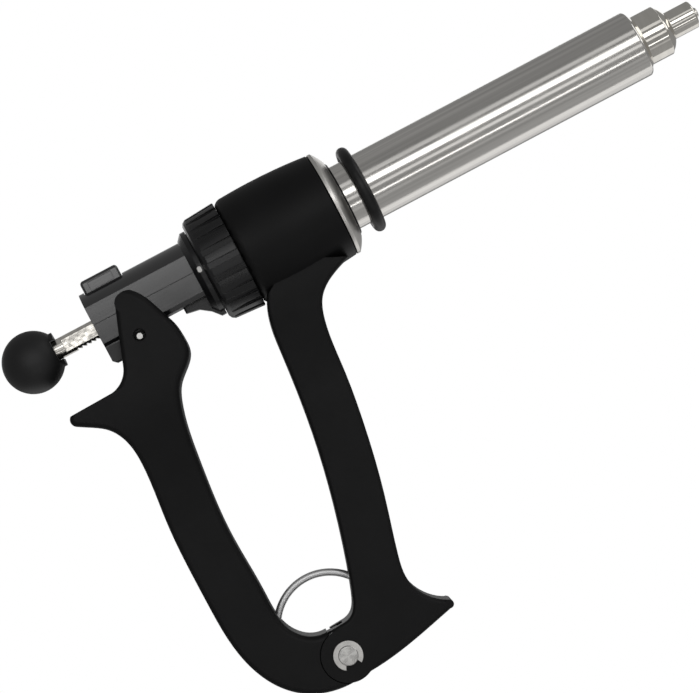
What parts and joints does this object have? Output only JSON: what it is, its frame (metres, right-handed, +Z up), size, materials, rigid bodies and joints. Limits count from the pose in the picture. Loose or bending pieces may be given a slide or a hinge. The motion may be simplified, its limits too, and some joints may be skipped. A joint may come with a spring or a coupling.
{
  "type": "pistol-grip meat injector",
  "caption": "Pistol-grip meat injector: steel barrel with needle collar, dose dial, toothed plunger rod with ball knob, release button and spring-returned squeeze handle.",
  "frame": {"origin": "on the barrel axis at the front face of the needle collar", "axes": "+X along the barrel, out of the needle collar; +Z up, away from the grips; Y across"},
  "size_m": [0.3134, 0.047, 0.1954],
  "materials": {
    "soft_black": "soft matt black coating",
    "moulded_black": "moulded black nylon, slight sheen",
    "gloss_black": "smooth black plastic",
    "knob_black": "matt black ball",
    "barrel_steel": "drawn stainless tube, brushed along its length",
    "satin_steel": "turned satin steel",
    "bright_nickel": "polished nickel plate",
    "hard_steel": "bright hardened steel",
    "spring_steel": "polished spring wire",
    "bush_bronze": "sintered bronze",
    "black_rubber": "nitrile rubber",
    "index_white": "small pale index mark"
  },
  "bodies": {
    "frame": {"frame": "soft_black", "barrel_tube": "barrel_steel", "nozzle": "bright_nickel", "nozzle_gasket": "black_rubber", "luer_stub": "bright_nickel", "barrel_nut": "satin_steel", "barrel_seal": "black_rubber", "barrel_ring": "black_rubber", "rod_bush": "bush_bronze", "carrier_guide": "moulded_black", "index_pip": "index_white", "detent_ball": "hard_steel", "detent_spring": "spring_steel", "pivot_pin": "hard_steel", "pivot_circlips": "spring_steel", "return_spring": "spring_steel"},
    "dial": {"dose_dial": "moulded_black", "dose_stop_pin": "hard_steel"},
    "rear_handle": {"rear_handle": "soft_black", "pivot_bush": "bush_bronze"},
    "carrier": {"carrier_base": "gloss_black", "carrier_cover": "gloss_black", "carrier_screws": "hard_steel", "cross_pin": "hard_steel", "button_spring": "spring_steel"},
    "release": {"release_button": "gloss_black", "pawl_plate": "hard_steel"},
    "plunger": {"plunger_rod": "bright_nickel", "ball_knob": "knob_black", "piston": "satin_steel", "piston_rings": "black_rubber", "piston_nut": "hard_steel"}
  },
  "joints": [
    {"name": "handle_squeeze", "type": "hinge", "parent": "frame", "child": "rear_handle", "pos_m": [-0.2431, 0, -0.161], "axis": [0, 1, 0], "range_deg": [0, 4.8], "stiffness_Nm_per_rad": 8, "springref_deg": -5.16, "deforming": ["return_spring"]},
    {"name": "carrier_slide", "type": "slide", "parent": "frame", "child": "carrier", "axis": [1, 0, 0], "range_m": [0, 0.0126]},
    {"name": "plunger_slide", "type": "slide", "parent": "frame", "child": "plunger", "axis": [1, 0, 0], "range_m": [-0.085, 0.015]},
    {"name": "dial_turn", "type": "hinge", "parent": "frame", "child": "dial", "pos_m": [-0.2144, 0, 0], "axis": [1, 0, 0], "range_deg": [-75, 75]},
    {"name": "button_press", "type": "slide", "parent": "carrier", "child": "release", "axis": [0, 0, -1], "range_m": [0, 0.0018], "stiffness_N_per_m": 1500, "springref_m": -0.002, "deforming": ["button_spring"]}
  ],
  "couplings": [
    {"joint": "carrier_slide", "follows": "handle_squeeze", "m_per_rad": 0.15028}
  ]
}
